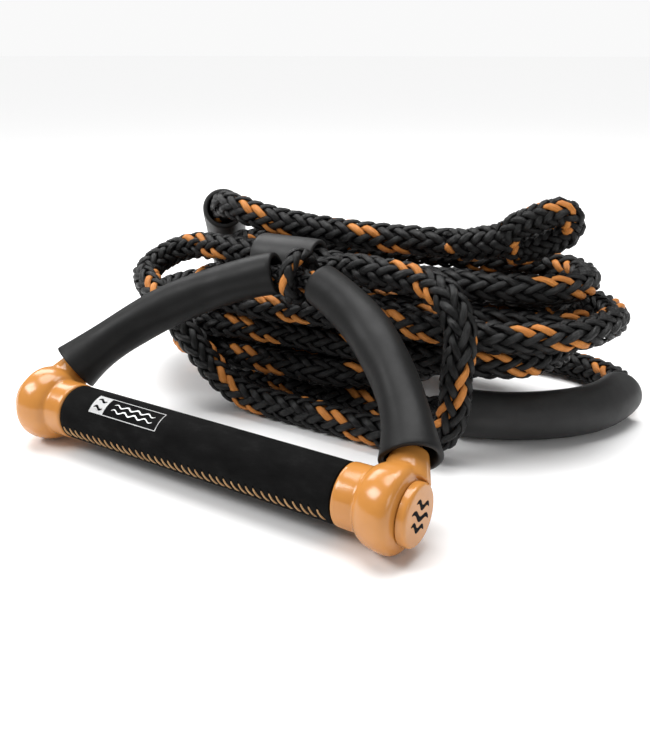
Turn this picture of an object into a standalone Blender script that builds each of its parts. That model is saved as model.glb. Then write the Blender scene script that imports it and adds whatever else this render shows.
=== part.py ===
"""Tow rope handle for wake surfing: a padded bar between two moulded end caps, a rope bridle under two
foam sleeves, and a thick braided tow line with three foam floats, folded into a hank behind the handle.

Metres, +Z up, the floor at z = 0. The bar lies along X, and the bridle rises from it towards +Y."""

import math

import bmesh
import bpy
from mathutils import Euler, Matrix, Vector

# Driving dimensions.
GAP = 0.0003                  # clearance between neighbouring solids
GRIP_HALF = 0.0875            # half of the length of grip that shows between the caps
GRIP_R = 0.0150
COVER_WALL = 0.0008
BAR_R = 0.0110
BAR_WALL = 0.0016
BULB_R = 0.0210               # largest radius of an end cap, which lies on the floor
BULB_WIDEST = 0.0268          # from the cap's rim on the grip to where the bulb is widest
BULB_RISE = 0.0145            # length over which the bulb swells from its foot
BULB_FOOT_R = 0.0152
SHOULDER_R = 0.0048           # rounding of the bulb towards the disc
CAP_LENGTH = 0.0325           # end cap without its disc
SOCKET_DEPTH = 0.0100         # how far the bar goes into a cap
POCKET = (0.0125, 0.0280)     # knot pocket, measured outwards from the grip's end
POCKET_R = 0.0125
DISC_R = 0.0150
DISC_END = 0.0375             # outer face of the disc, measured from the grip's end
SPOUT_X = GRIP_HALF + 0.0210  # the spouts' distance from the middle of the bar
SPOUT_TOP = 0.0285            # height of a spout's rim above the bar's axis
SPOUT_BORE_R = 0.0070
BRIDLE_TILT = math.radians(40)
LEG_R = 0.0060                # bridle rope
SPOUT_LEAN = 0.12             # how far a spout leans outwards at its foot, for each metre down
SLEEVE_ARC_R = 0.1720
SLEEVE_START = (0.1104, 0.0245, math.radians(64))   # along the bar, above its axis, direction
SLEEVE_TURNS = {"left": math.radians(45.3), "right": math.radians(42)}
TAIL_R = 0.0044               # end of the bridle rope, inside a spout
SLEEVE_R = 0.0120
SLEEVE_WALL = 0.0030
APEX_UP = 0.1120              # top of the bridle above the bar's axis, in the bridle's plane
EYE_X = 0.0035                # where the tow line's small eye sits on the bridle
TOW_EYE_R = 0.0085
TOW_EYE_MIDDLE = (0.1085, 0.1735, 0.1145)
TOW_EYE_TURN = (math.radians(23), math.radians(-24), math.radians(23))   # about X, then Y, then Z
TOW_EYE_LEG = 0.0097          # half the length of the eye's straight legs
TOW_EYE_BEND = 0.0088         # radius of its round ends, at the middle of the rope
ROPE_R = 0.00925              # tow line
SPLICE_GAP = 0.0032           # between an end of the tow line and its splice
SPLICE_R = 0.01025
FLOAT_R = 0.0140
FLOAT_WALL = 0.0030
LAYER_PITCH = 0.0188          # height of one layer of the hank
LANES = (0.0540, 0.0345)      # end radii of the outer and inner turns of a layer
ORIGIN_Y = 0.0368             # middle of the handle and its bridle, front to back

# Hank layers from the top: middle x, middle y, half length of the straight runs, yaw in degrees.
LAYERS = ((0.022, 0.166, 0.078, 8), (-0.016, 0.167, 0.088, 4), (-0.042, 0.163, 0.040, 3))
TOP_LAYER_Z = 0.0660

# The tow line's own route from the bridle's eye to the hank, and from the hank to the tow eye.
LEAD = (
    (0.0190, 0.1155, 0.0935), (0.0400, 0.1160, 0.0930), (0.0660, 0.1160, 0.0910),
    (0.0860, 0.1065, 0.0860), (0.0965, 0.0990, 0.0710), (0.0980, 0.0935, 0.0510), (0.0985, 0.0910, 0.0300),
    (0.0915, 0.0895, 0.0155), (0.0760, 0.0890, 0.0098), (0.0500, 0.0895, 0.0095), (0.0200, 0.0900, 0.0095),
    (-0.0100, 0.0900, 0.0095), (-0.0400, 0.0895, 0.0110), (-0.0630, 0.0885, 0.0230), (-0.0800, 0.0868, 0.0420),
    (-0.1000, 0.0875, 0.0590), (-0.1230, 0.0980, 0.0670), (-0.1390, 0.1120, 0.0710), (-0.1370, 0.1290, 0.0790),
    (-0.1180, 0.1360, 0.0870), (-0.0860, 0.1325, 0.0896), (-0.0540, 0.1310, 0.0897), (-0.0330, 0.1310, 0.0897),
    (-0.0120, 0.1315, 0.0896),
    (0.0250, 0.1380, 0.0865), (0.0600, 0.1430, 0.0850), (0.0950, 0.1490, 0.0850), (0.1220, 0.1630, 0.0850),
    (0.1330, 0.1880, 0.0850), (0.1220, 0.2110, 0.0850), (0.0960, 0.2210, 0.0850), (0.0600, 0.2190, 0.0850),
    (0.0220, 0.2140, 0.0850), (-0.0160, 0.2090, 0.0850), (-0.0520, 0.2030, 0.0850), (-0.0820, 0.1940, 0.0850),
    (-0.0990, 0.1770, 0.0850), (-0.0960, 0.1580, 0.0850),
)
TAIL = (
    (-0.0450, 0.1290, 0.0096), (-0.0150, 0.1265, 0.0095), (0.0150, 0.1260, 0.0095), (0.0500, 0.1250, 0.0097),
    (0.0840, 0.1280, 0.0143), (0.1100, 0.1380, 0.0143), (0.1340, 0.1560, 0.0143), (0.1510, 0.1810, 0.0143),
    (0.1560, 0.2100, 0.0140), (0.1470, 0.2370, 0.0115), (0.1230, 0.2550, 0.0096), (0.0900, 0.2590, 0.0095),
    (0.0500, 0.2550, 0.0095), (0.0100, 0.2510, 0.0095), (-0.0300, 0.2490, 0.0095), (-0.0700, 0.2510, 0.0095),
    (-0.1100, 0.2590, 0.0095), (-0.1450, 0.2680, 0.0115), (-0.1710, 0.2660, 0.0220), (-0.1760, 0.2490, 0.0385),
    (-0.1640, 0.2320, 0.0550), (-0.1464, 0.2086, 0.0732), (-0.1288, 0.1852, 0.0914), (-0.1112, 0.1618, 0.1096),
    (-0.0950, 0.1485, 0.1150), (-0.0700, 0.1460, 0.1110), (-0.0350, 0.1505, 0.1062), (0.0050, 0.1535, 0.1046),
    (0.0400, 0.1570, 0.1046), (0.0600, 0.1605, 0.1048),
)
SPLICE = ((0.0720, 0.1615, 0.1052), (0.0810, 0.1650, 0.1060))
FLOATS = (                    # name, line it threads, first and last route point that it covers
    ("float_front", TAIL, 4, 8),
    ("float_middle", LEAD, 21, 23),
    ("float_rear", TAIL, 20, 23),
)


def clear_scene():
    for obj in list(bpy.data.objects):
        bpy.data.objects.remove(obj, do_unlink=True)


def new_collection(name):
    collection = bpy.data.collections.new(name)
    bpy.context.scene.collection.children.link(collection)
    return collection


def new_material(name, colour, roughness, metallic=0.0):
    material = bpy.data.materials.new(name)
    material.use_nodes = True
    shader = material.node_tree.nodes["Principled BSDF"]
    shader.inputs["Base Color"].default_value = (*colour, 1.0)
    shader.inputs["Roughness"].default_value = roughness
    shader.inputs["Metallic"].default_value = metallic
    return material


def add_object(name, data, collection, material=None):
    obj = bpy.data.objects.new(name, data)
    collection.objects.link(obj)
    if material:
        data.materials.append(material)
    return obj


def bridle_point(along, above):
    """A point of the bridle's plane: along the bar, and above the bar's axis at the bridle's tilt."""
    return Vector((along, above * math.cos(BRIDLE_TILT), BULB_R + above * math.sin(BRIDLE_TILT)))


def turned(name, profile, collection, material, steps=32):
    """A closed (distance along X, radius) profile turned about the bar's axis, from its outer start."""
    mesh = bpy.data.meshes.new(name)
    edges = [(i, i + 1) for i in range(len(profile) - 1)]
    if profile[0][1] > 0:
        edges.append((len(profile) - 1, 0))
    mesh.from_pydata([(radius, 0.0, -along) for along, radius in profile], edges, [])
    obj = add_object(name, mesh, collection, material)
    screw = obj.modifiers.new("turn", "SCREW")
    screw.axis = "Z"
    screw.steps = screw.render_steps = steps
    screw.use_merge_vertices = True
    screw.merge_threshold = 0.00001
    return obj


def to_mesh(obj):
    """Replaces a curve, or an object with modifiers, with its finished and welded mesh."""
    bpy.context.view_layer.update()
    graph = bpy.context.evaluated_depsgraph_get()
    mesh = bpy.data.meshes.new_from_object(obj.evaluated_get(graph))
    work = bmesh.new()
    work.from_mesh(mesh)
    bmesh.ops.remove_doubles(work, verts=work.verts, dist=0.000001)
    bmesh.ops.recalc_face_normals(work, faces=work.faces)
    work.to_mesh(mesh)
    work.free()
    result = bpy.data.objects.new(obj.name, mesh)
    result.matrix_world = obj.matrix_world
    for collection in obj.users_collection:
        collection.objects.link(result)
    name = obj.name
    bpy.data.objects.remove(obj, do_unlink=True)
    result.name = name
    return result


def smooth_path(points, spacing, first=0, last=None, closed=False):
    """Points at an even spacing on a smooth curve through the route's points, or through some of them."""
    points = [Vector(p) for p in points]
    count = len(points)
    last = count - 1 if last is None else last
    if closed:
        frame = [points[-1], *points, points[0], points[1]]
    else:
        frame = [2 * points[0] - points[1], *points, 2 * points[-1] - points[-2]]
    fine = []
    for i in range(count) if closed else range(first, last):
        a, b, c, d = frame[i:i + 4]
        for k in range(16):
            t = k / 16
            fine.append(0.5 * (2 * b + (c - a) * t + (2 * a - 5 * b + 4 * c - d) * t**2
                               + (3 * b - a - 3 * c + d) * t**3))
    fine.append(points[0] if closed else points[last])
    lengths = [0.0]
    for p, q in zip(fine, fine[1:]):
        lengths.append(lengths[-1] + (q - p).length)
    steps = max(2, round(lengths[-1] / spacing))
    even = []
    at = 0
    for k in range(steps if closed else steps + 1):
        target = lengths[-1] * k / steps
        while at < len(lengths) - 2 and lengths[at + 1] < target:
            at += 1
        part = (target - lengths[at]) / (lengths[at + 1] - lengths[at])
        even.append(fine[at].lerp(fine[at + 1], part))
    return even


def tube(name, path, radius, collection, material, radii=None, closed=False, caps=True, resolution=2):
    """A curve with a round bevel. radii, one for each point, are fractions of the radius."""
    curve = bpy.data.curves.new(name, "CURVE")
    curve.dimensions = "3D"
    curve.bevel_depth = radius
    curve.bevel_resolution = resolution
    curve.use_fill_caps = caps
    spline = curve.splines.new("POLY")
    spline.points.add(len(path) - 1)
    for i, point in enumerate(path):
        spline.points[i].co = (*point, 1.0)
        spline.points[i].radius = radii[i] if radii else 1.0
    spline.use_cyclic_u = closed
    return add_object(name, curve, collection, material)


def foam_tube(name, path, radius, wall, collection, material, radii=None):
    """A foam tube along a path: an open tube with its wall solidified inwards."""
    skin = to_mesh(tube(name, path, radius, collection, material, radii, caps=False, resolution=4))
    solidify = skin.modifiers.new("wall", "SOLIDIFY")
    solidify.thickness = wall
    solidify.offset = -1.0
    solidify.use_even_offset = True
    for polygon in skin.data.polygons:
        polygon.use_smooth = True
    return skin


def cylinder(name, radius, start, end, collection, radius_end=None, segments=24):
    """A cylinder or cone between two points."""
    mesh = bpy.data.meshes.new(name)
    work = bmesh.new()
    axis = end - start
    bmesh.ops.create_cone(
        work, cap_ends=True, segments=segments, radius1=radius,
        radius2=radius if radius_end is None else radius_end, depth=axis.length,
    )
    turn = axis.to_track_quat("Z", "X").to_matrix().to_4x4()
    bmesh.ops.transform(work, matrix=Matrix.Translation((start + end) / 2) @ turn, verts=work.verts)
    work.to_mesh(mesh)
    work.free()
    return add_object(name, mesh, collection)


def boolean(obj, other, operation):
    modifier = obj.modifiers.new(operation.lower(), "BOOLEAN")
    modifier.operation = operation
    modifier.solver = "EXACT"
    modifier.object = other


def hide_helper(obj):
    obj.hide_render = True
    obj.display_type = "WIRE"


def arc_points(centre, radius, start, end, steps):
    """Points of an arc in the (along, radius) half plane, angles in degrees."""
    return [
        (centre[0] + radius * math.cos(math.radians(start + (end - start) * i / steps)),
         centre[1] + radius * math.sin(math.radians(start + (end - start) * i / steps)))
        for i in range(steps + 1)
    ]


def make_bar(collection, materials):
    half = GRIP_HALF + SOCKET_DEPTH - 0.0005
    inner = BAR_R - BAR_WALL
    bar = turned("bar_tube", [(-half, BAR_R), (half, BAR_R), (half, inner), (-half, inner)],
                 collection, materials["aluminium"])
    bar.rotation_euler = (0, -math.pi / 2, 0)
    plug_r = inner - GAP
    pieces = [bar]
    for side, sign in (("left", -1), ("right", 1)):
        near, far = half - 0.0130, half - 0.0010
        profile = [(near, 0.0), (near, plug_r), (far, plug_r), (far, 0.0)]
        plug = turned(f"{side}_bar_plug", profile, collection, materials["plug"], 24)
        plug.rotation_euler = (0, -sign * math.pi / 2, 0)
        pieces.append(plug)
    return pieces


def make_grip(collection, materials):
    half = GRIP_HALF - GAP
    cover_in = GRIP_R - COVER_WALL
    foam_out = cover_in - GAP
    foam_in = BAR_R + GAP
    pieces = []
    for name, outer, inner, material in (
        ("grip_foam", foam_out, foam_in, "foam"),
        ("grip_cover", GRIP_R, cover_in, "suede"),
    ):
        piece = turned(name, [(-half, outer), (half, outer), (half, inner), (-half, inner)],
                       collection, materials[material])
        piece.rotation_euler = (0, -math.pi / 2, 0)
        pieces.append(piece)
    thread_r = 0.0006
    angle = math.radians(-48)
    reach = GRIP_R + GAP + thread_r
    path = [(x, -reach * math.cos(angle), reach * math.sin(angle)) for x in (-0.086, 0.0, 0.086)]
    pieces.append(tube("grip_stitching", path, thread_r, collection, materials["thread"]))
    return pieces


def cap_profile():
    """An end cap in section, from its rim on the grip outwards and back through its bores."""
    collar_r = 0.0156
    socket_r = BAR_R + GAP
    outer = [(0.0, collar_r - 0.0004), (0.0004, collar_r), (0.0112, collar_r), (0.0122, 0.0153)]
    for turn in (12, 28, 44, 60, 76):
        angle = math.radians(turn)
        outer.append((BULB_WIDEST - BULB_RISE * math.cos(angle),
                      BULB_FOOT_R + (BULB_R - BULB_FOOT_R) * math.sin(angle)))
    outer += arc_points((BULB_WIDEST, BULB_R - SHOULDER_R), SHOULDER_R, 90, -6, 6)
    outer.append((CAP_LENGTH, 0.0142))
    inner = [
        (CAP_LENGTH, POCKET_R), (POCKET[0], POCKET_R), (POCKET[0], 0.0040),
        (SOCKET_DEPTH, 0.0040), (SOCKET_DEPTH, socket_r), (0.0, socket_r),
    ]
    return outer + inner


def spout_point(sign, above):
    """A point on a spout's axis, which leans outwards at its foot."""
    return bridle_point(sign * (SPOUT_X + SPOUT_LEAN * (SPOUT_TOP - above)), above)


def make_cap(side, sign, collection, cutters, materials):
    """A turned cap with a spout for the bridle rope, the disc that closes it and the rope's knot."""
    shift = GRIP_HALF
    profile = [(along + shift, radius) for along, radius in cap_profile()]
    cap = turned(f"{side}_end_cap", profile, collection, materials["cap"], 32)
    cap.matrix_world = Matrix.Translation((0, 0, BULB_R)) @ Matrix.Rotation(-sign * math.pi / 2, 4, "Y")

    foot = spout_point(sign, 0.0150) + Vector((sign * 0.0016, 0, 0))
    spout = cylinder(f"{side}_spout_form", 0.0108, foot, spout_point(sign, SPOUT_TOP), cutters, 0.0082)
    bore = cylinder(f"{side}_spout_bore", SPOUT_BORE_R, spout_point(sign, 0.0080),
                    spout_point(sign, SPOUT_TOP + 0.0050), cutters)
    hide_helper(spout)
    hide_helper(bore)
    boolean(cap, spout, "UNION")
    boolean(cap, bore, "DIFFERENCE")

    stem_r = POCKET_R - GAP
    face = CAP_LENGTH + GAP
    disc_profile = [
        (POCKET[1] + GAP, 0.0), (POCKET[1] + GAP, stem_r), (face, stem_r), (face, DISC_R),
        (DISC_END - 0.0018, DISC_R), (DISC_END - 0.0007, DISC_R - 0.0006), (DISC_END, DISC_R - 0.0018),
        (DISC_END, 0.0),
    ]
    disc = turned(f"{side}_cap_disc", [(along + shift, radius) for along, radius in disc_profile],
                  collection, materials["cap"], 32)
    disc.matrix_world = cap.matrix_world.copy()

    knot_r = 0.0072
    top = SPOUT_TOP - LEG_R - 0.0007
    profile = [(-knot_r, 0.0)]
    profile += [(-knot_r * math.cos(a), knot_r * math.sin(a)) for a in (0.4, 0.8, 1.2, 1.6, 2.0, 2.4)]
    profile += [(knot_r * 0.9, TAIL_R), (top, TAIL_R), (top, 0.0)]
    knot = turned(f"{side}_stop_knot", profile, collection, materials["rope"], 20)
    up = Vector((0, math.cos(BRIDLE_TILT), math.sin(BRIDLE_TILT)))
    knot.matrix_world = (
        Matrix.Translation(bridle_point(sign * SPOUT_X, 0.0))
        @ (-up).to_track_quat("Z", "X").to_matrix().to_4x4()
    )
    return [cap, disc, knot]


def sleeve_path(side, steps=12):
    """Points of a sleeve's arc in the bridle's plane, and its centre."""
    sign = -1 if side == "left" else 1
    along, above, heading = SLEEVE_START
    centre = (along - SLEEVE_ARC_R * math.sin(heading), above - SLEEVE_ARC_R * math.cos(heading))
    points = []
    for i in range(steps + 1):
        turn = heading - SLEEVE_TURNS[side] * i / steps
        points.append(bridle_point(sign * (centre[0] + SLEEVE_ARC_R * math.sin(turn)),
                                   centre[1] + SLEEVE_ARC_R * math.cos(turn)))
    return points, bridle_point(sign * centre[0], centre[1])


def make_bridle(collection, materials):
    """One rope from spout to spout, through both sleeves, over the top of the bridle."""
    side = [bridle_point(SPOUT_X, SPOUT_TOP)]
    side += sleeve_path("right")[0][1:]
    side.append(bridle_point(0.0085, APEX_UP - 0.0008))
    path = smooth_path(side + [bridle_point(0.0, APEX_UP)]
                       + [Vector((-p.x, p.y, p.z)) for p in reversed(side)], 0.008)
    first, last = path[0], path[-1]
    down = (bridle_point(0, 0) - bridle_point(0, 1)).normalized()
    rounding = (0.97, 0.75, 0.45)
    nose = [first + down * LEG_R * s for s in rounding]
    tail = [last + down * LEG_R * s for s in reversed(rounding)]
    shape = [math.sqrt(1 - s * s) for s in rounding]
    radii = shape + [1.0] * len(path) + shape[::-1]
    return tube("bridle_rope", nose + path + tail, LEG_R, collection, materials["rope"], radii)


def make_sleeves(collection, materials):
    pieces = []
    for side in ("left", "right"):
        path = sleeve_path(side)[0]
        flare = [1.0 + 0.27 * max(0.0, 1 - i / 3) ** 2 for i in range(len(path))]
        pieces.append(foam_tube(f"{side}_sleeve", path, SLEEVE_R, SLEEVE_WALL,
                                collection, materials["foam"], flare))
    return pieces


def make_line_eye(collection, materials):
    """The tow line's small eye, which turns on the bridle rope, and the splice that closes it."""
    material = materials["rope"]
    strand = 0.0050
    reach = LEG_R + strand + 0.0006
    apex = bridle_point(EYE_X, APEX_UP)
    count = 20
    ring = []
    for i in range(count):
        turn = 2 * math.pi * i / count
        ring.append(apex + Vector((0, reach * math.cos(turn), reach * math.sin(turn))))
    tube("line_eye", ring, strand, collection, material, closed=True)
    start = apex + Vector((0, reach + strand + GAP, 0.0))
    heading = (Vector(LEAD[1]) - Vector(LEAD[0])).normalized()
    end = Vector(LEAD[0]) - heading * SPLICE_GAP
    path = smooth_path([start, start + Vector((0.0016, 0.0070, 0.0002)), end - heading * 0.0080, end], 0.004)
    radii = [0.70 + 0.26 * i / (len(path) - 1) for i in range(len(path))]
    tube("line_splice", path, ROPE_R, collection, material, radii)


def tow_eye_route():
    """The closed towing eye: two legs, side by side, between two round ends. It starts at the splice."""
    turn = Euler(TOW_EYE_TURN).to_matrix()
    route = []
    for end in (-1, 1):
        for degrees in (-90, -45, 0, 45, 90):
            angle = math.radians(degrees)
            along = end * (TOW_EYE_LEG + TOW_EYE_BEND * math.cos(angle))
            across = end * TOW_EYE_BEND * math.sin(angle)
            route.append(Vector(TOW_EYE_MIDDLE) + turn @ Vector((along, 0.0, across)))
    return route[2:] + route[:2]


def layer_height(index):
    return TOP_LAYER_Z - index * LAYER_PITCH


def make_hank_layer(index, collection, materials):
    """The outer shape of one layer of the hank: an extruded outline with round ends."""
    x, y, half, yaw = LAYERS[index]
    radius = LANES[0] + ROPE_R
    outline = [(half + radius * math.cos(a), radius * math.sin(a))
               for a in (math.radians(-90 + 180 * i / 12) for i in range(13))]
    outline += [(-half - radius * math.cos(a), -radius * math.sin(a))
                for a in (math.radians(-90 + 180 * i / 12) for i in range(13))]
    name = f"rope_hank_layer_{index + 1}"
    curve = bpy.data.curves.new(name, "CURVE")
    curve.dimensions = "2D"
    curve.fill_mode = "BOTH"
    curve.extrude = LAYER_PITCH / 2 - GAP
    spline = curve.splines.new("POLY")
    spline.points.add(len(outline) - 1)
    for point, (u, v) in zip(spline.points, outline):
        point.co = (u, v, 0.0, 1.0)
    spline.use_cyclic_u = True
    layer = add_object(name, curve, collection, materials["rope"])
    layer.location = (x, y, layer_height(index))
    layer.rotation_euler = (0, 0, math.radians(yaw))
    return layer


def parent_to(pieces, name, location, collection):
    """Puts an empty on a joint's axis and hangs the pieces that move about it on it."""
    empty = bpy.data.objects.new(name, None)
    empty.location = location
    empty.empty_display_size = 0.02
    collection.objects.link(empty)
    bpy.context.view_layer.update()
    for piece in pieces:
        piece.parent = empty
        piece.matrix_parent_inverse = empty.matrix_world.inverted()
    return empty


def main():
    clear_scene()
    parts = new_collection("tow_rope_handle")
    cutters = new_collection("cutters")
    materials = {
        "cap": new_material("tan_cap_plastic", (0.72, 0.33, 0.09), 0.18),
        "suede": new_material("black_suede", (0.012, 0.012, 0.012), 0.9),
        "foam": new_material("black_foam", (0.030, 0.030, 0.030), 0.7),
        "rope": new_material("black_rope", (0.015, 0.015, 0.016), 0.5),
        "thread": new_material("tan_thread", (0.60, 0.36, 0.15), 0.6),
        "aluminium": new_material("bare_aluminium", (0.80, 0.80, 0.80), 0.35, 1.0),
        "plug": new_material("grey_plug", (0.10, 0.10, 0.10), 0.6),
    }

    lifted = make_bar(parts, materials) + make_grip(parts, materials)
    for piece in lifted:
        piece.location = (0, 0, BULB_R)
    handle = lifted
    for side, sign in (("left", -1), ("right", 1)):
        handle += make_cap(side, sign, parts, cutters, materials)
    parent_to(handle, "handle_pivot", bridle_point(0.0, SPOUT_TOP), parts)

    bridle = make_bridle(parts, materials)
    parent_to([bridle], "bridle_pivot", bridle_point(0.0, APEX_UP), parts)
    for sleeve, side in zip(make_sleeves(parts, materials), ("left", "right")):
        parent_to([sleeve], f"{sleeve.name}_pivot", sleeve_path(side)[1], parts)

    make_line_eye(parts, materials)
    for index in range(len(LAYERS)):
        make_hank_layer(index, parts, materials)
    tube("tow_line_lead", smooth_path(LEAD, 0.0230), ROPE_R, parts, materials["rope"])
    tube("tow_line_tail", smooth_path(TAIL, 0.0260), ROPE_R, parts, materials["rope"])
    splice_start = Vector(TAIL[-1]) + (Vector(TAIL[-1]) - Vector(TAIL[-2])).normalized() * SPLICE_GAP
    tube("tow_eye_splice", smooth_path([splice_start, *SPLICE], 0.006), SPLICE_R, parts, materials["rope"])
    eye = smooth_path(tow_eye_route(), 0.007, closed=True)
    tube("tow_eye", eye, TOW_EYE_R, parts, materials["rope"], closed=True)
    for name, line, first, last in FLOATS:
        foam_tube(name, smooth_path(line, 0.010, first, last), FLOAT_R, FLOAT_WALL, parts, materials["foam"])

    origin = bpy.data.objects.new("origin", None)
    origin.location = (0, -ORIGIN_Y, 0)
    parts.objects.link(origin)
    for obj in [*parts.objects, *cutters.objects]:
        if obj is not origin and not obj.parent:
            obj.parent = origin


main()
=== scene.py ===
"""Visual model of a tow rope handle: a suede grip between tan moulded caps, a braided bridle in foam sleeves,
and a thick braided tow line with foam floats, folded into a hank behind the handle.

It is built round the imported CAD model. Lengths are in metres, and the bar's axis comes from the model."""

import math

import bmesh
import bpy
import numpy as np
from mathutils import Euler, Matrix, Vector

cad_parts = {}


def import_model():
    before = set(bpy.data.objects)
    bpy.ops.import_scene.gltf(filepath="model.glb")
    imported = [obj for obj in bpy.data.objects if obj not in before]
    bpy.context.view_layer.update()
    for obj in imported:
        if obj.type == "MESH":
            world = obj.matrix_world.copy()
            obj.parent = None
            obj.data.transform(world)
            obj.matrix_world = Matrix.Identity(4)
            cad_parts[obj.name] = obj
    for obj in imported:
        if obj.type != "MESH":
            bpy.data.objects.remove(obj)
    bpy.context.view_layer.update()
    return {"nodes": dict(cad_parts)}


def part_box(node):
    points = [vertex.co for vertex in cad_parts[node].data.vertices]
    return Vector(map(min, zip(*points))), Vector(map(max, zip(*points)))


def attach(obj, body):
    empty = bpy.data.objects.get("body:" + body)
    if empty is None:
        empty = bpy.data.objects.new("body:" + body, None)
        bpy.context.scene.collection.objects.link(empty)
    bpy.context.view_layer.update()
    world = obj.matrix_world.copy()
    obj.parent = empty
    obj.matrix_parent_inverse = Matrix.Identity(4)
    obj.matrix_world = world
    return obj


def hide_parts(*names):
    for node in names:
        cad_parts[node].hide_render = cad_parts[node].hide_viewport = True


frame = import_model()

BAR_LOW, BAR_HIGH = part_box("bar_tube")
AXIS_Y = (BAR_LOW[1] + BAR_HIGH[1]) / 2
AXIS_Z = (BAR_LOW[2] + BAR_HIGH[2]) / 2
GRIP_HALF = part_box("grip_cover")[1][0]
GRIP_R = (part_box("grip_cover")[1][2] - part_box("grip_cover")[0][2]) / 2

# The bridle and its spouts, as in the CAD model.
BRIDLE_TILT = math.radians(40)
SPOUT_X = 0.1085
SPOUT_TOP = 0.0285
SPOUT_LEAN = 0.12
SPOUT_BORE_R = 0.0070
APEX_UP = 0.1120
EYE_X = 0.0035
LEG_R = 0.0060
SLEEVE_ARC_R = 0.1720
SLEEVE_START = (0.1104, 0.0245, math.radians(64))
SLEEVE_TURNS = {"left": math.radians(45.3), "right": math.radians(42)}
SLEEVE_R = 0.0120
SLEEVE_WALL = 0.0030

# The tow line and its floats.
ROPE_R = 0.00925
PITCH = 0.0800                # length along the line of one turn of a strand
STEP = 0.0026                 # spacing of the braid's rings
FLOAT_R = 0.0140
FLOAT_WALL = 0.0030
EYE_R = 0.0085
LINE_EYE_R = 0.0050
STRAND_HALF_THICK = 0.135     # half a strand's thickness, as a share of the rope's radius
STRAND_FILL = 0.80            # width of a strand, as a share of the room that it has

# The tow line's route: off the bridle's eye, round the front and left, down into the hank, and back on top.
START = (
    (0.0040, 0.1015, 0.0930), (0.0080, 0.1085, 0.0932), (0.0130, 0.1132, 0.0934),
)
LEAD = (
    (0.0190, 0.1155, 0.0935), (0.0400, 0.1160, 0.0930), (0.0660, 0.1160, 0.0910),
    (0.0860, 0.1065, 0.0860), (0.0965, 0.0990, 0.0710), (0.0980, 0.0935, 0.0510), (0.0985, 0.0910, 0.0300),
    (0.0915, 0.0895, 0.0155), (0.0760, 0.0890, 0.0098), (0.0500, 0.0895, 0.0095), (0.0200, 0.0900, 0.0095),
    (-0.0100, 0.0900, 0.0095), (-0.0400, 0.0895, 0.0110), (-0.0630, 0.0885, 0.0230), (-0.0800, 0.0868, 0.0420),
    (-0.1000, 0.0875, 0.0590), (-0.1230, 0.0980, 0.0670), (-0.1390, 0.1120, 0.0710), (-0.1370, 0.1290, 0.0790),
    (-0.1180, 0.1360, 0.0870), (-0.0860, 0.1325, 0.0896), (-0.0540, 0.1310, 0.0897), (-0.0330, 0.1310, 0.0897),
    (-0.0120, 0.1315, 0.0896),
    (0.0250, 0.1380, 0.0865), (0.0600, 0.1430, 0.0850), (0.0950, 0.1490, 0.0850), (0.1220, 0.1630, 0.0850),
    (0.1330, 0.1880, 0.0850), (0.1220, 0.2110, 0.0850), (0.0960, 0.2210, 0.0850), (0.0600, 0.2190, 0.0850),
    (0.0220, 0.2140, 0.0850), (-0.0160, 0.2090, 0.0850), (-0.0520, 0.2030, 0.0850), (-0.0820, 0.1940, 0.0850),
    (-0.0990, 0.1770, 0.0850), (-0.0960, 0.1580, 0.0850),
)
DIVE = ((-0.0790, 0.1430, 0.0780), (-0.0420, 0.1310, 0.0695))
TAIL = (
    (-0.0450, 0.1290, 0.0096), (-0.0150, 0.1265, 0.0095), (0.0150, 0.1260, 0.0095), (0.0500, 0.1250, 0.0097),
    (0.0840, 0.1280, 0.0143), (0.1100, 0.1380, 0.0143), (0.1340, 0.1560, 0.0143), (0.1510, 0.1810, 0.0143),
    (0.1560, 0.2100, 0.0140), (0.1470, 0.2370, 0.0115), (0.1230, 0.2550, 0.0096), (0.0900, 0.2590, 0.0095),
    (0.0500, 0.2550, 0.0095), (0.0100, 0.2510, 0.0095), (-0.0300, 0.2490, 0.0095), (-0.0700, 0.2510, 0.0095),
    (-0.1100, 0.2590, 0.0095), (-0.1450, 0.2680, 0.0115), (-0.1710, 0.2660, 0.0220), (-0.1760, 0.2490, 0.0385),
    (-0.1640, 0.2320, 0.0550), (-0.1464, 0.2086, 0.0732), (-0.1288, 0.1852, 0.0914), (-0.1112, 0.1618, 0.1096),
    (-0.0950, 0.1485, 0.1150), (-0.0700, 0.1460, 0.1110), (-0.0350, 0.1505, 0.1062), (0.0050, 0.1535, 0.1046),
    (0.0400, 0.1570, 0.1046), (0.0600, 0.1605, 0.1048),
)
SPLICE_END = ((0.0720, 0.1615, 0.1052), (0.0830, 0.1640, 0.1075), (0.0950, 0.1672, 0.1105))
TOW_EYE_MIDDLE = (0.1085, 0.1735, 0.1145)
TOW_EYE_TURN = (math.radians(23), math.radians(-24), math.radians(23))   # about X, then Y, then Z
TOW_EYE_LEG = 0.0097          # half the length of the eye's straight legs
TOW_EYE_BEND = 0.0088         # radius of its round ends, at the middle of the rope
# Layers of the hank: middle x, middle y, half length of the straight runs, yaw in degrees, height.
LAYERS = (
    (0.022, 0.166, 0.078, 8, 0.0660), (-0.016, 0.167, 0.088, 4, 0.0472),
    (-0.042, 0.163, 0.040, 3, 0.0284), (-0.030, 0.174, 0.040, 0, 0.0095),
)
LANES = (0.0540, 0.0345)      # end radii of the outer and inner turns
TURNS = ((0, 1), (0, 0), (1, 0), (1, 1), (2, 1), (2, 0), (3, 0))   # layer and lane of each turn
HANK_START, HANK_END = 0.10, 5.96   # in turns, where the line joins the hank and where it leaves


def world(point):
    """A point written from the bar's axis on the floor, in the row frame."""
    return (point[0], point[1] + AXIS_Y, point[2])


# ---------------------------------------------------------------- materials


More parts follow.
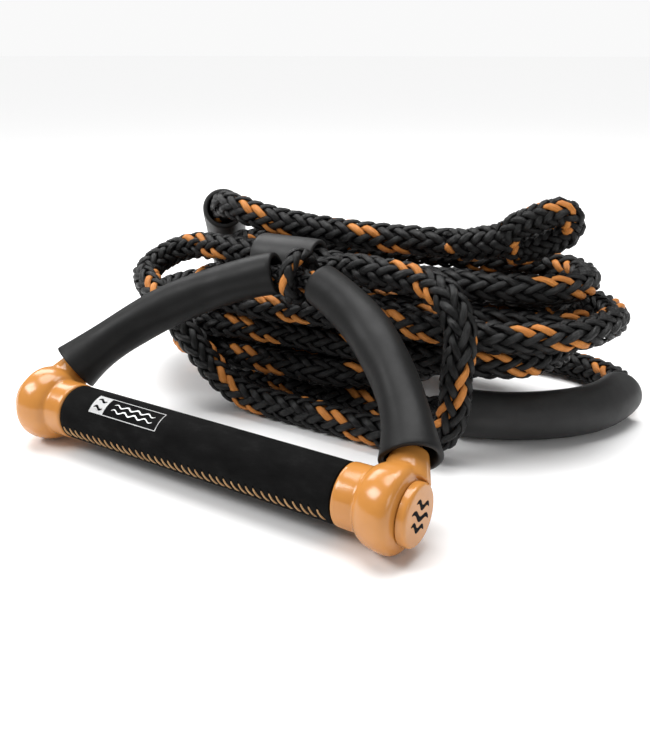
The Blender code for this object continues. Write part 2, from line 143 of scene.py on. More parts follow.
def shader_of(name, colour, roughness, slot):
    material = bpy.data.materials.new(name)
    material.use_nodes = True
    shader = material.node_tree.nodes["Principled BSDF"]
    shader.inputs["Base Color"].default_value = (*colour, 1.0)
    shader.inputs["Roughness"].default_value = roughness
    material["record_slot"] = slot
    return material, material.node_tree, shader


def link(tree, source, target):
    tree.links.new(source, target)


def texture_space(tree, kind="Object", scale=(1.0, 1.0, 1.0)):
    coordinates = tree.nodes.new("ShaderNodeTexCoord")
    mapping = tree.nodes.new("ShaderNodeMapping")
    mapping.inputs["Scale"].default_value = scale
    link(tree, coordinates.outputs[kind], mapping.inputs["Vector"])
    return mapping.outputs["Vector"]


def noise(tree, vector, scale, detail=4.0, roughness=0.55):
    node = tree.nodes.new("ShaderNodeTexNoise")
    node.inputs["Scale"].default_value = scale
    node.inputs["Detail"].default_value = detail
    node.inputs["Roughness"].default_value = roughness
    link(tree, vector, node.inputs["Vector"])
    return node.outputs["Fac"]


def ramp(tree, factor, stops):
    node = tree.nodes.new("ShaderNodeValToRGB")
    while len(node.color_ramp.elements) < len(stops):
        node.color_ramp.elements.new(0.5)
    for element, (position, colour) in zip(node.color_ramp.elements, stops):
        element.position = position
        element.color = (*colour, 1.0)
    link(tree, factor, node.inputs["Fac"])
    return node.outputs["Color"]


def grey(value):
    return (value, value, value)


def bump(tree, height, strength, distance, shader, before=None):
    node = tree.nodes.new("ShaderNodeBump")
    node.inputs["Strength"].default_value = strength
    node.inputs["Distance"].default_value = distance
    link(tree, height, node.inputs["Height"])
    if before is not None:
        link(tree, before, node.inputs["Normal"])
    link(tree, node.outputs["Normal"], shader.inputs["Normal"])
    return node.outputs["Normal"]


def strand_material(name, dark, light, roughness, slot):
    """Bundled silky filaments: fine lines along each strand, from the strand's own coordinates."""
    material, tree, shader = shader_of(name, light, roughness, slot)
    shader.inputs["Specular IOR Level"].default_value = 0.30
    fine = noise(tree, texture_space(tree, "UV", (30.0, 1.1, 1.0)), 1.0, 3.0, 0.65)
    patches = noise(tree, texture_space(tree, "Object"), 120.0, 3.0)
    mix = tree.nodes.new("ShaderNodeMix")
    mix.data_type = "FLOAT"
    mix.inputs["Factor"].default_value = 0.35
    link(tree, fine, mix.inputs["A"])
    link(tree, patches, mix.inputs["B"])
    link(tree, ramp(tree, mix.outputs["Result"], ((0.34, dark), (0.66, light))), shader.inputs["Base Color"])
    rough = ramp(tree, fine, ((0.3, grey(roughness + 0.22)), (0.7, grey(roughness - 0.06))))
    link(tree, rough, shader.inputs["Roughness"])
    bump(tree, fine, 0.8, 0.0008, shader)
    return material


def foam_material(name, low, high):
    """Closed-cell foam: tiny cells, a soft sheen and faint handling marks."""
    material, tree, shader = shader_of(name, grey(high), 0.46, "foam")
    shader.inputs["Specular IOR Level"].default_value = 0.16
    space = texture_space(tree)
    marks = noise(tree, space, 55.0, 4.0, 0.6)
    link(tree, ramp(tree, marks, ((0.3, grey(low)), (0.7, grey(high)))), shader.inputs["Base Color"])
    link(tree, ramp(tree, marks, ((0.3, grey(0.54)), (0.7, grey(0.40)))), shader.inputs["Roughness"])
    cells = tree.nodes.new("ShaderNodeTexVoronoi")
    cells.inputs["Scale"].default_value = 2600.0
    link(tree, space, cells.inputs["Vector"])
    first = bump(tree, cells.outputs["Distance"], 0.10, 0.0002, shader)
    bump(tree, noise(tree, space, 240.0, 3.0), 0.12, 0.0006, shader, first)
    return material


def suede_material():
    material, tree, shader = shader_of("black_suede", grey(0.012), 0.92, "suede")
    shader.inputs["Specular IOR Level"].default_value = 0.05
    space = texture_space(tree)
    nap = noise(tree, texture_space(tree, "Object", (1.0, 1.6, 1.6)), 60.0, 6.0, 0.65)
    link(tree, ramp(tree, nap, ((0.32, grey(0.0040)), (0.55, grey(0.0065)), (0.75, grey(0.0120)))),
         shader.inputs["Base Color"])
    first = bump(tree, noise(tree, space, 2800.0, 2.0, 0.7), 0.35, 0.0002, shader)
    bump(tree, nap, 0.25, 0.0006, shader, first)
    return material


def cap_material():
    """Glossy moulded plastic, with the faint ripple and colour drift of a moulding."""
    material, tree, shader = shader_of("tan_cap_plastic", (0.51, 0.215, 0.046), 0.17, "cap")
    shader.inputs["Coat Weight"].default_value = 0.12
    shader.inputs["Coat Roughness"].default_value = 0.08
    shader.inputs["Specular IOR Level"].default_value = 0.42
    space = texture_space(tree)
    drift = noise(tree, space, 38.0, 3.0)
    link(tree, ramp(tree, drift, ((0.3, (0.48, 0.195, 0.040)), (0.7, (0.55, 0.235, 0.053)))),
         shader.inputs["Base Color"])
    link(tree, ramp(tree, noise(tree, space, 130.0, 5.0, 0.7), ((0.3, grey(0.15)), (0.75, grey(0.27)))),
         shader.inputs["Roughness"])
    bump(tree, noise(tree, space, 75.0, 3.0), 0.06, 0.0008, shader)
    return material


def print_material():
    material, tree, shader = shader_of("white_print", grey(0.86), 0.6, "thread")
    wear = noise(tree, texture_space(tree), 900.0, 3.0)
    link(tree, ramp(tree, wear, ((0.25, grey(0.62)), (0.45, grey(0.88)))), shader.inputs["Base Color"])
    bump(tree, wear, 0.15, 0.0001, shader)
    return material


# Black print of the emblems and grip mark; the same material is also painted shade in the stitches' needle
# holes.
def inlay_and_hole_shade_material():
    material, tree, shader = shader_of("black_inlay_and_hole_shade", grey(0.002), 0.7, "suede")
    shader.inputs["Specular IOR Level"].default_value = 0.05
    speck = noise(tree, texture_space(tree), 1500.0, 2.0)
    link(tree, ramp(tree, speck, ((0.3, grey(0.0015)), (0.7, grey(0.0040)))), shader.inputs["Base Color"])
    return material


def metal_material():
    material, tree, shader = shader_of("bare_aluminium", grey(0.8), 0.35, "aluminium")
    shader.inputs["Metallic"].default_value = 1.0
    drawn = noise(tree, texture_space(tree, "Object", (3.0, 900.0, 900.0)), 1.0, 3.0)
    link(tree, ramp(tree, drawn, ((0.3, grey(0.26)), (0.7, grey(0.44)))), shader.inputs["Roughness"])
    return material


def plug_material():
    material, tree, shader = shader_of("grey_plug", grey(0.10), 0.6, "plug")
    grain = noise(tree, texture_space(tree), 700.0, 4.0)
    link(tree, ramp(tree, grain, ((0.3, grey(0.08)), (0.7, grey(0.12)))), shader.inputs["Base Color"])
    bump(tree, grain, 0.2, 0.0002, shader)
    return material


MATERIALS = {
    "rope": strand_material("black_rope", grey(0.0006), grey(0.0052), 0.31, "rope"),
    "tracer": strand_material("tan_tracer", (0.40, 0.130, 0.022), (0.74, 0.290, 0.062), 0.42, "rope"),
    "thread": strand_material("tan_thread", (0.42, 0.22, 0.09), (0.78, 0.50, 0.24), 0.55, "thread"),
    "foam": foam_material("black_foam", 0.0080, 0.0135),
    # The floats get a lighter copy of the black foam: painted light, standing in for the broad front light
    # that fell on them.
    "float": foam_material("black_foam_painted_lit_copy", 0.0330, 0.0450),
    "suede": suede_material(),
    "cap": cap_material(),
    "print": print_material(),
    "dark": inlay_and_hole_shade_material(),
    "aluminium": metal_material(),
    "plug": plug_material(),
}
CORE = shader_of("rope_core", grey(0.004), 0.9, "rope")[0]


# ---------------------------------------------------------------- geometry helpers


def smooth_points(points, spacing, closed=False):
    """Evenly spaced points of the smooth curve through the route's points."""
    points = [np.array(p, float) for p in points]
    count = len(points)
    if closed:
        ring = [points[-1], *points, points[0], points[1]]
    else:
        ring = [2 * points[0] - points[1], *points, 2 * points[-1] - points[-2]]
    steps = np.arange(16)[:, None] / 16
    pieces = []
    for i in range(count if closed else count - 1):
        a, b, c, d = ring[i:i + 4]
        pieces.append(0.5 * (2 * b + (c - a) * steps + (2 * a - 5 * b + 4 * c - d) * steps**2
                             + (3 * b - a - 3 * c + d) * steps**3))
    pieces.append((points[0] if closed else points[-1])[None])
    fine = np.vstack(pieces)
    along = np.concatenate([[0], np.cumsum(np.linalg.norm(np.diff(fine, axis=0), axis=1))])
    number = max(2, round(along[-1] / spacing))
    target = np.linspace(0, along[-1], number + 1)
    even = np.stack([np.interp(target, along, fine[:, k]) for k in range(3)], axis=1)
    return even[:-1] if closed else even


def unit(vectors):
    return vectors / np.linalg.norm(vectors, axis=-1, keepdims=True)


class Track:
    """Points along a line with a frame at each that doesn't twist, and the distance along it."""

    def __init__(self, points, closed=False):
        self.points = points
        self.closed = closed
        if closed:
            ahead, behind = np.roll(points, -1, axis=0), np.roll(points, 1, axis=0)
            self.tangents = unit(ahead - behind)
            gaps = np.linalg.norm(ahead - points, axis=1)
            self.along = np.concatenate([[0], np.cumsum(gaps)[:-1]])
            self.total = gaps.sum()
        else:
            self.tangents = unit(np.gradient(points, axis=0))
            gaps = np.linalg.norm(np.diff(points, axis=0), axis=1)
            self.along = np.concatenate([[0], np.cumsum(gaps)])
            self.total = self.along[-1]
        normal = np.cross(self.tangents[0], (0.0, 0.0, 1.0))
        if np.linalg.norm(normal) < 0.1:
            normal = np.cross(self.tangents[0], (1.0, 0.0, 0.0))
        normal = unit(normal)
        normals = []
        for tangent in self.tangents:
            normal = unit(normal - tangent * (normal @ tangent))
            normals.append(normal)
        self.normals = np.array(normals)
        self.sides = np.cross(self.tangents, self.normals)
        if closed:
            # The frame comes back turned by some angle, which is spread over the whole ring.
            last = normals[-1] - self.tangents[0] * (normals[-1] @ self.tangents[0])
            angle = math.atan2(last @ self.sides[0], last @ self.normals[0])
            turn = -angle * (np.arange(len(points)) / len(points))
            cos, sin = np.cos(turn)[:, None], np.sin(turn)[:, None]
            self.normals, self.sides = (
                self.normals * cos + self.sides * sin, self.sides * cos - self.normals * sin
            )

    def part(self, first, last):
        piece = Track.__new__(Track)
        piece.closed = False
        for name in ("points", "tangents", "normals", "sides", "along"):
            setattr(piece, name, getattr(self, name)[first:last])
        piece.total = piece.along[-1] - piece.along[0]
        return piece

    def at(self, distances):
        """Points and frames at these distances from its start."""
        here = self.along - self.along[0]
        found = []
        for table in (self.points, self.tangents, self.normals, self.sides):
            found.append(np.stack([np.interp(distances, here, table[:, k]) for k in range(3)], axis=1))
        found[0] = found[0] + found[1] * (
            np.minimum(distances, 0) + np.maximum(distances - here[-1], 0))[:, None]
        return found[0], unit(found[1]), unit(found[2]), unit(found[3])


def make_mesh(name, vertices, faces, materials, indices=None, uvs=None):
    """A smooth mesh object. indices gives each face's material, and uvs each vertex's coordinates."""
    mesh = bpy.data.meshes.new(name)
    mesh.from_pydata(np.asarray(vertices).tolist(), [], faces)
    for material in materials:
        mesh.materials.append(material)
    if indices is not None:
        mesh.polygons.foreach_set("material_index", np.asarray(indices, np.int32))
    mesh.polygons.foreach_set("use_smooth", np.full(len(mesh.polygons), True))
    if uvs is not None:
        layer = mesh.uv_layers.new(name="strand")
        loops = np.empty(len(mesh.loops), np.int32)
        mesh.loops.foreach_get("vertex_index", loops)
        layer.data.foreach_set("uv", np.asarray(uvs, np.float32)[loops].ravel())
    mesh.update()
    obj = bpy.data.objects.new(name, mesh)
    bpy.context.scene.collection.objects.link(obj)
    return obj


def grid_faces(rows, columns, wrap_rows=False):
    """Quads of a grid of rows by columns, whose columns close round."""
    i = np.arange(rows if wrap_rows else rows - 1)[:, None]
    j = np.arange(columns)[None]
    a = i * columns + j
    b = i * columns + (j + 1) % columns
    c = ((i + 1) % rows) * columns + (j + 1) % columns
    d = ((i + 1) % rows) * columns + j
    return np.stack([a, d, c, b], axis=-1).reshape(-1, 4)


SECTION = np.array([(-1.0, -0.15), (-0.66, 0.62), (0.0, 1.0), (0.66, 0.62), (1.0, -0.15), (0.0, -0.7)])


def braid(name, track, radius, pitch=PITCH, count=8, tracers=(0, 1), swell=None, seed=0.0):
    """A hollow braid over a core: count strands each way, each passing over two and under two.

    swell holds a factor on the radius at each point of the track."""
    along = track.along
    rows = len(along)
    swell = np.ones(rows) if swell is None else swell
    reach = radius * swell
    half_thick = STRAND_HALF_THICK * reach
    middle = reach - 2 * half_thick
    half_wide = 1.02 * math.pi * middle / count * STRAND_FILL
    size = len(SECTION)
    vertices, faces, indices, uvs, starts = [], [], [], [], []
    offset = 0
    for hand in (1, -1):
        for k in range(count):
            wobble = np.sin(along * 61.0 + k * 2.3 + hand + seed) + np.sin(along * 23.0 + k * 4.1 - hand)
            angle = 2 * math.pi * k / count + hand * 2 * math.pi * along / pitch + 0.05 * wobble
            crossing = 2 * count * along / pitch
            if hand > 0:
                wave = np.cos(math.pi / 2 * (crossing + 2 * k - 0.5))
            else:
                wave = -np.cos(math.pi / 2 * (2 * k - crossing - 0.5))
            lift = np.tanh(1.7 * wave) / math.tanh(1.7)
            plump = (lift + 1) / 2
            centre = (middle + half_thick * lift)[:, None]
            cos, sin = np.cos(angle)[:, None], np.sin(angle)[:, None]
            out = track.normals * cos + track.sides * sin
            round_ = track.sides * cos - track.normals * sin
            heading = unit(track.tangents + hand * 2 * math.pi / pitch * centre * round_)
            across = np.cross(out, heading)
            ragged = np.sin(along * 410.0 + k * 5.1 + seed) * np.sin(along * 173.0 + k * 2.9 - hand)
            wide = half_wide * (0.82 + 0.26 * plump + 0.035 * wobble + 0.06 * ragged)
            thick = half_thick * (0.80 + 0.26 * plump + 0.08 * ragged)
            base = track.points + out * centre
            for u, v in SECTION:
                drop = 0.5 * (wide * u) ** 2 / np.maximum(middle, 1e-4) * 0.75
                vertices.append(base + across * (wide * u)[:, None] + out * (thick * v - drop)[:, None])
                uvs.append(np.stack([np.full(rows, (u + 1) * 0.25 + k * 1.7), along * 100], axis=1))
            block = grid_faces(rows, size, track.closed)
            # The points are stored one section corner at a time, so the index is corner * rows + row.
            block = (block % size) * rows + block // size
            faces.append(block + offset)
            indices.append(np.full(len(block), int(hand > 0 and k in tracers)))
            starts.append((offset, size))
            offset += rows * size
    # The dark core closes the gaps between the strands.
    sides = 10
    core_radius = (middle - 0.55 * half_thick)[:, None]
    core = []
    for j in range(sides):
        turn = 2 * math.pi * j / sides
        out = track.normals * math.cos(turn) + track.sides * math.sin(turn)
        core.append(track.points + core_radius * out)
        uvs.append(np.stack([np.full(rows, j * 0.3), along * 100], axis=1))
    block = grid_faces(rows, sides, track.closed)
    faces.append((block % sides) * rows + block // sides + offset)
    indices.append(np.full(len(block), 2))
    starts.append((offset, sides))
    polygons = np.vstack(faces).tolist()
    if not track.closed:
        for start, corners in starts:
            polygons.append([start + j * rows for j in range(corners)])
            polygons.append([start + (j + 1) * rows - 1 for j in reversed(range(corners))])
        indices.append(np.full(2 * len(starts), 2))
    materials = [MATERIALS["rope"], MATERIALS["tracer"], CORE]
    return make_mesh(name, np.vstack(vertices + core), polygons, materials, np.concatenate(indices),
                     np.vstack(uvs))


def foam_tube(name, points, outer, wall, seed, dents, foam="foam"):
    """A foam tube with rounded lips along a line. outer gives its outer radius at a share of its length."""
    around = 44
    track = Track(points)
    length = track.total
    number = max(12, round(length / 0.0032))
    inside = np.linspace(0, length, number + 1)[1:-1]
    lip = 0.0009
    rings = [(0.0, "in", lip), (0.0, "out", -lip), (0.3 * lip, "out", -0.3 * lip), (lip, "out", 0.0)]
    rings += [(s, "out", 0.0) for s in inside]
    rings += [(length - lip, "out", 0.0), (length - 0.3 * lip, "out", -0.3 * lip), (length, "out", -lip),
              (length, "in", lip), (length - 0.3 * lip, "in", 0.3 * lip), (length - lip, "in", 0.0)]
    rings += [(s, "in", 0.0) for s in inside[::-1]]
    rings += [(lip, "in", 0.0), (0.3 * lip, "in", 0.3 * lip)]
    distance = np.array([r[0] for r in rings])
    place, _, normals, sides = track.at(distance)
    radius = np.array([outer(min(max(s / length, 0.0), 1.0)) - (wall if kind == "in" else 0.0) + extra
                       for s, kind, extra in rings])
    turn = 2 * math.pi * np.arange(around) / around
    cos, sin = np.cos(turn), np.sin(turn)
    ripple = dents * (
        np.sin(2 * turn[None] + 70 * distance[:, None] + seed)
        + 0.6 * np.sin(3 * turn[None] - 110 * distance[:, None] + 2 * seed)
    )
    reach = radius[:, None] + ripple
    grid = (place[:, None] + reach[..., None] * (normals[:, None] * cos[None, :, None]
                                                 + sides[:, None] * sin[None, :, None]))
    faces = grid_faces(len(rings), around, True)
    return make_mesh(name, grid.reshape(-1, 3), faces[:, ::-1].tolist(), [MATERIALS[foam]])


def ride(obj, body):
    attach(obj, body)


# ---------------------------------------------------------------- camera


def make_camera():
    data = bpy.data.cameras.new("camera")
    data.sensor_width = 36.0
    data.lens = 40.4
    camera = bpy.data.objects.new("camera", data)
    bpy.context.scene.collection.objects.link(camera)
    azimuth, elevation = math.radians(32.69), math.radians(20.92)
    distance = 0.439
    target = Vector((0.0415, 0.0536 + AXIS_Y, 0.0524))
    forward = Vector((-math.sin(azimuth) * math.cos(elevation), math.cos(azimuth) * math.cos(elevation),
                      -math.sin(elevation)))
    right = Vector((math.cos(azimuth), math.sin(azimuth), 0.0))
    up = right.cross(forward)
    turned = Matrix((right, up, -forward)).transposed()
    camera.matrix_world = Matrix.Translation(target - forward * distance) @ turned.to_4x4()
    data.clip_start = 0.01
    bpy.context.scene.camera = camera


make_camera()


# ---------------------------------------------------------------- tow line


def hank_point(share, layer, radius):
    """A point of one turn of the hank: front run, right bight, back run, left bight."""
    x, y, half, yaw, height = layer
    if share < 0.3:
        u, v = -half + 2 * half * share / 0.3, -radius
    elif share < 0.5:
        angle = -math.pi / 2 + math.pi * (share - 0.3) / 0.2
        u, v = half + radius * math.cos(angle), radius * math.sin(angle)
    elif share < 0.8:
        u, v = half - 2 * half * (share - 0.5) / 0.3, radius
    else:
        angle = math.pi / 2 + math.pi * (share - 0.8) / 0.2
        u, v = -half + radius * math.cos(angle), radius * math.sin(angle)
    cos, sin = math.cos(math.radians(yaw)), math.sin(math.radians(yaw))
    return np.array([x + cos * u - sin * v, y + sin * u + cos * v, height])


def hank_points():
    """The hank's turns in order, each easing into the next one's lane or layer over its second half."""
    points = []
    number = round((HANK_END - HANK_START) * 20)
    for turn in np.linspace(HANK_START, HANK_END, number + 1):
        index = min(int(turn + 1e-9), len(TURNS) - 1)
        share = turn - index
        layer, lane = TURNS[index]
        next_layer, next_lane = TURNS[min(index + 1, len(TURNS) - 1)]
        ease = min(max((share - 0.55) / 0.4, 0), 1)
        ease = ease * ease * (3 - 2 * ease)
        radius = LANES[lane] + (LANES[next_lane] - LANES[lane]) * ease
        if layer != next_layer:
            radius += (0.010 if lane == 0 else -0.010) * math.sin(math.pi * ease)
        points.append((1 - ease) * hank_point(share, LAYERS[layer], radius)
                      + ease * hank_point(share, LAYERS[next_layer], radius))
    return points


def nearest(track, point):
    return int(np.argmin(np.linalg.norm(track.points - np.array(world(point)), axis=1)))


hank = hank_points()
route = [*START, *LEAD, *DIVE, *hank, *TAIL]
line = Track(smooth_points([world(p) for p in route], STEP))
lead_end = nearest(line, LEAD[-1])
tail_start = nearest(line, TAIL[0])
# The folded turns sag and shift a little, more in the middle of the hank than at its ends.
ease_in = np.clip((line.along - line.along[lead_end]) / 0.08, 0, 1)
ease_out = np.clip((line.along[tail_start] - line.along) / 0.08, 0, 1)
shift = 0.0016 * (ease_in * ease_out)[:, None] * np.stack([
    np.zeros(len(line.along)), np.sin(line.along * 31.0), 0.6 * np.sin(line.along * 47.0 + 1.0),
], axis=1)
line = Track(line.points + shift)
middle_cut = (lead_end + tail_start) // 2

near_start = (line.along - line.along[0]) / 0.030
swell = np.where(near_start < 1, 0.72 + 0.34 * np.clip(near_start, 0, 1), 1.0)
fade = np.clip((0.125 - line.along) / 0.04, 0, 1)
swell = np.where(near_start >= 1, 1.0 + 0.06 * fade, swell)

stretches = (
    ("tow_line_front", 0, lead_end + 1, "loose"),
    ("tow_line_hank_upper", lead_end, middle_cut + 1, "coiled"),
    ("tow_line_hank_lower", middle_cut, tail_start + 1, "coiled"),
    ("tow_line_back", tail_start, len(line.points), "loose"),
)
for name, first, last, lay in stretches:
    piece = line.part(first, last)
    rope = braid(name, piece, ROPE_R, swell=swell[first:last])
    ride(rope, "root")
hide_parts("tow_line_lead", "line_splice")
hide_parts("rope_hank_layer_1", "rope_hank_layer_2")
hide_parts("rope_hank_layer_3")
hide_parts("tow_line_tail")


def tow_eye_route():
    """The closed towing eye: two legs, side by side, between two round ends. It starts at the splice."""
    turn = Euler(TOW_EYE_TURN).to_matrix()
    route = []
    for end in (-1, 1):
        for degrees in (-90, -45, 0, 45, 90):
            angle = math.radians(degrees)
            along = end * (TOW_EYE_LEG + TOW_EYE_BEND * math.cos(angle))
            across = end * TOW_EYE_BEND * math.sin(angle)
            route.append(Vector(TOW_EYE_MIDDLE) + turn @ Vector((along, 0.0, across)))
    return route[2:] + route[:2]


# The spliced end: a thicker braid that closes the towing eye.
splice_track = Track(smooth_points([world(p) for p in (TAIL[-1], *SPLICE_END)], 0.0016))
splice_swell = 1.0 + 0.12 * np.sin(np.linspace(0, 0.8 * math.pi, len(splice_track.points)))
splice = braid("tow_eye_splice_braid", splice_track, ROPE_R, pitch=0.055, swell=splice_swell, seed=2.0)
ride(splice, "root")
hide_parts("tow_eye_splice")
eye_points = smooth_points([world(p) for p in tow_eye_route()], 0.0022, closed=True)
eye_track = Track(eye_points, closed=True)
eye = braid("tow_eye_braid", eye_track, EYE_R, pitch=eye_track.total / 2, seed=1.0)
ride(eye, "root")
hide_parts("tow_eye")


def bridle_point(along, above):
    """A point of the bridle's plane: along the bar, and above the bar's axis at the bridle's tilt."""
    return (along, above * math.cos(BRIDLE_TILT) + AXIS_Y, AXIS_Z + above * math.sin(BRIDLE_TILT))


apex = np.array(bridle_point(EYE_X, APEX_UP))
ring_reach = LEG_R + LINE_EYE_R + 0.0006
ring_points = [apex + ring_reach * np.array((0, math.cos(a), math.sin(a)))
               for a in (2 * math.pi * i / 44 for i in range(44))]
ring_track = Track(np.array(ring_points), closed=True)
line_eye = braid("line_eye_braid", ring_track, LINE_EYE_R, pitch=ring_track.total / 2, count=4, tracers=(0,))
ride(line_eye, "root")
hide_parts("line_eye")


# ---------------------------------------------------------------- floats


def sub_route(points, first, last, spacing=0.003):
    """Evenly spaced points of a stretch of the tow line's own curve."""
    a = nearest(line, points[first])
    b = nearest(line, points[last])
    stretch = line.part(a, b + 1)
    number = round(stretch.total / spacing)
    return stretch.at(np.linspace(0, stretch.total, number + 1))[0]


for name, points, first, last, seed in (
    ("float_front", TAIL, 4, 8, 0.4), ("float_middle", LEAD, 21, 23, 1.7), ("float_rear", TAIL, 20, 23, 3.1),
):
    # The floats' foam is the lighter copy of the black foam, with painted light in its base colour.
    tube = foam_tube(name + "_foam", sub_route(points, first, last), lambda s: FLOAT_R, FLOAT_WALL,
                     seed=seed, dents=0.00012, foam="float")
    ride(tube, name)
    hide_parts(name)


# ---------------------------------------------------------------- bridle and sleeves


def sleeve_points(side, steps=40):
    sign = -1 if side == "left" else 1
    along, above, heading = SLEEVE_START
    centre = (along - SLEEVE_ARC_R * math.sin(heading), above - SLEEVE_ARC_R * math.cos(heading))
    points = []
    for i in range(steps + 1):
        turn = heading - SLEEVE_TURNS[side] * i / steps
        points.append(bridle_point(sign * (centre[0] + SLEEVE_ARC_R * math.sin(turn)),
                                   centre[1] + SLEEVE_ARC_R * math.cos(turn)))
    return np.array(points)


leg = [bridle_point(SPOUT_X, SPOUT_TOP)] + [tuple(p) for p in sleeve_points("right", 12)[1:]]
leg.append(bridle_point(0.0085, APEX_UP - 0.0008))
mirrored = [(-p[0], p[1], p[2]) for p in reversed(leg)]
bridle_track = Track(smooth_points(leg + [bridle_point(0.0, APEX_UP)] + mirrored, 0.0019))
bridle = braid("bridle_braid", bridle_track, LEG_R, pitch=0.046, seed=0.7)
ride(bridle, "bridle")
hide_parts("bridle_rope")

for side, sign in (("left", -1), ("right", 1)):
    sleeve = foam_tube(
        f"{side}_sleeve_foam", sleeve_points(side),
        lambda s: SLEEVE_R * (1.0 + 0.27 * max(0.0, 1 - 4 * s) ** 2), SLEEVE_WALL,
        seed=0.9 * sign + 2.0, dents=0.00028,
    )
    ride(sleeve, f"{side}_sleeve")
    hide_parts(f"{side}_sleeve")


# ---------------------------------------------------------------- handle


def turned_mesh(profile, steps=96):
    """A closed (along, radius) profile turned about X, as a bmesh about the bar's axis."""
    work = bmesh.new()
    rings = []
    for along, radius in profile:
        if radius < 1e-6:
            rings.append([work.verts.new((along, AXIS_Y, AXIS_Z))])
            continue
        rings.append([
            work.verts.new((along, AXIS_Y + radius * math.cos(2 * math.pi * j / steps),
                            AXIS_Z + radius * math.sin(2 * math.pi * j / steps)))
            for j in range(steps)
        ])
    closed = len(rings[0]) > 1
    pairs = list(zip(rings, rings[1:] + rings[:1])) if closed else list(zip(rings, rings[1:]))
    for a, b in pairs:
        for j in range(steps):
            k = (j + 1) % steps
            if len(a) == 1:
                work.faces.new((a[0], b[j], b[k]))
            elif len(b) == 1:
                work.faces.new((a[j], b[0], a[k]))
            else:
                work.faces.new((a[j], b[j], b[k], a[k]))
    bmesh.ops.recalc_face_normals(work, faces=work.faces)
    return work


def object_of(name, work, materials, smooth=True):
    mesh = bpy.data.meshes.new(name)
    work.to_mesh(mesh)
    work.free()
    for material in materials:
        mesh.materials.append(material)
    mesh.polygons.foreach_set("use_smooth", np.full(len(mesh.polygons), smooth))
    obj = bpy.data.objects.new(name, mesh)
    bpy.context.scene.collection.objects.link(obj)
    return obj


def rounded(profile, fillets, steps=5):
    """The profile with the corners named in fillets {index: radius} rounded."""
    result = []
    for i, corner in enumerate(profile):
        if i not in fillets:
            result.append(corner)
            continue
        here = np.array(corner)
        before = np.array(profile[i - 1]) - here
        after = np.array(profile[(i + 1) % len(profile)]) - here
        reach = min(fillets[i], 0.49 * np.linalg.norm(before), 0.49 * np.linalg.norm(after))
        a = here + before / np.linalg.norm(before) * reach
        b = here + after / np.linalg.norm(after) * reach
        for k in range(steps + 1):
            t = k / steps
            result.append(tuple((1 - t) ** 2 * a + 2 * t * (1 - t) * here + t * t * b))
    return result


def cone_between(name, start, end, radius, radius_end, segments=64):
    work = bmesh.new()
    start, end = Vector(start), Vector(end)
    axis = end - start
    bmesh.ops.create_cone(work, cap_ends=True, segments=segments, radius1=radius, radius2=radius_end,
                          depth=axis.length)
    turn = axis.to_track_quat("Z", "X").to_matrix().to_4x4()
    bmesh.ops.transform(work, matrix=Matrix.Translation((start + end) / 2) @ turn, verts=work.verts)
    return object_of(name, work, [])


def spout_point(sign, above):
    return bridle_point(sign * (SPOUT_X + SPOUT_LEAN * (SPOUT_TOP - above)), above)


def apply_modifiers(obj):
    """Replaces the object's mesh with its finished one, and clears its modifiers."""
    graph = bpy.context.evaluated_depsgraph_get()
    graph.update()
    mesh = bpy.data.meshes.new_from_object(obj.evaluated_get(graph))
    obj.modifiers.clear()
    obj.data = mesh
    mesh.polygons.foreach_set("use_smooth", np.full(len(mesh.polygons), True))


def arc(centre, radius, start, end, steps):
    return [
        (centre[0] + radius * math.cos(math.radians(start + (end - start) * i / steps)),
         centre[1] + radius * math.sin(math.radians(start + (end - start) * i / steps)))
        for i in range(steps + 1)
    ]


# The end caps, measured outwards from the grip's end.
CAP_START = 0.0875
CAP_LENGTH = 0.0325
SOCKET_DEPTH = 0.0100
SOCKET_R = 0.0113
POCKET_START = 0.0125
POCKET_R = 0.0125
BULB_WIDEST = 0.0268
BULB_RISE = 0.0145            # length over which the bulb swells from its foot
BULB_FOOT_R = 0.0152
BULB_R = 0.0210
SHOULDER_R = 0.0048
DISC_R = 0.0150
DISC_END = 0.0375


def cap_profile():
    outer = [(0.0, 0.0150), (0.0006, 0.0156), (0.0108, 0.0157), (0.0122, 0.0153)]
    for turn in range(12, 90, 6):
        angle = math.radians(turn)
        outer.append((BULB_WIDEST - BULB_RISE * math.cos(angle),
                      BULB_FOOT_R + (BULB_R - BULB_FOOT_R) * math.sin(angle)))
    outer += arc((BULB_WIDEST, BULB_R - SHOULDER_R), SHOULDER_R, 90, -6, 14)
    outer.append((CAP_LENGTH, 0.0142))
    inner = [
        (CAP_LENGTH, POCKET_R), (POCKET_START, POCKET_R), (POCKET_START, 0.0040),
        (SOCKET_DEPTH, 0.0040), (SOCKET_DEPTH, SOCKET_R), (0.0, SOCKET_R),
    ]
    return outer + inner


def make_cap(side, sign):
    profile = [(sign * (CAP_START + along), radius) for along, radius in cap_profile()]
    cap = object_of(f"{side}_cap_shell", turned_mesh(profile), [MATERIALS["cap"]])
    foot = Vector(spout_point(sign, 0.0130)) + Vector((sign * 0.0016, 0, 0))
    spout = cone_between("spout_form", foot, spout_point(sign, SPOUT_TOP), 0.0122, 0.0086)
    bore = cone_between("spout_bore", spout_point(sign, 0.0080), spout_point(sign, SPOUT_TOP + 0.005),
                        SPOUT_BORE_R, SPOUT_BORE_R)
    for other, operation in ((spout, "UNION"), (bore, "DIFFERENCE")):
        modifier = cap.modifiers.new(operation.lower(), "BOOLEAN")
        modifier.operation = operation
        modifier.solver = "EXACT"
        modifier.object = other
    remesh = cap.modifiers.new("remesh", "REMESH")
    remesh.mode = "VOXEL"
    remesh.voxel_size = 0.00055
    soften = cap.modifiers.new("soften", "CORRECTIVE_SMOOTH")
    soften.factor = 0.6
    soften.iterations = 14
    soften.use_only_smooth = True
    apply_modifiers(cap)
    for helper in (spout, bore):
        bpy.data.objects.remove(helper, do_unlink=True)
    ride(cap, "handle")
    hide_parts(f"{side}_end_cap")


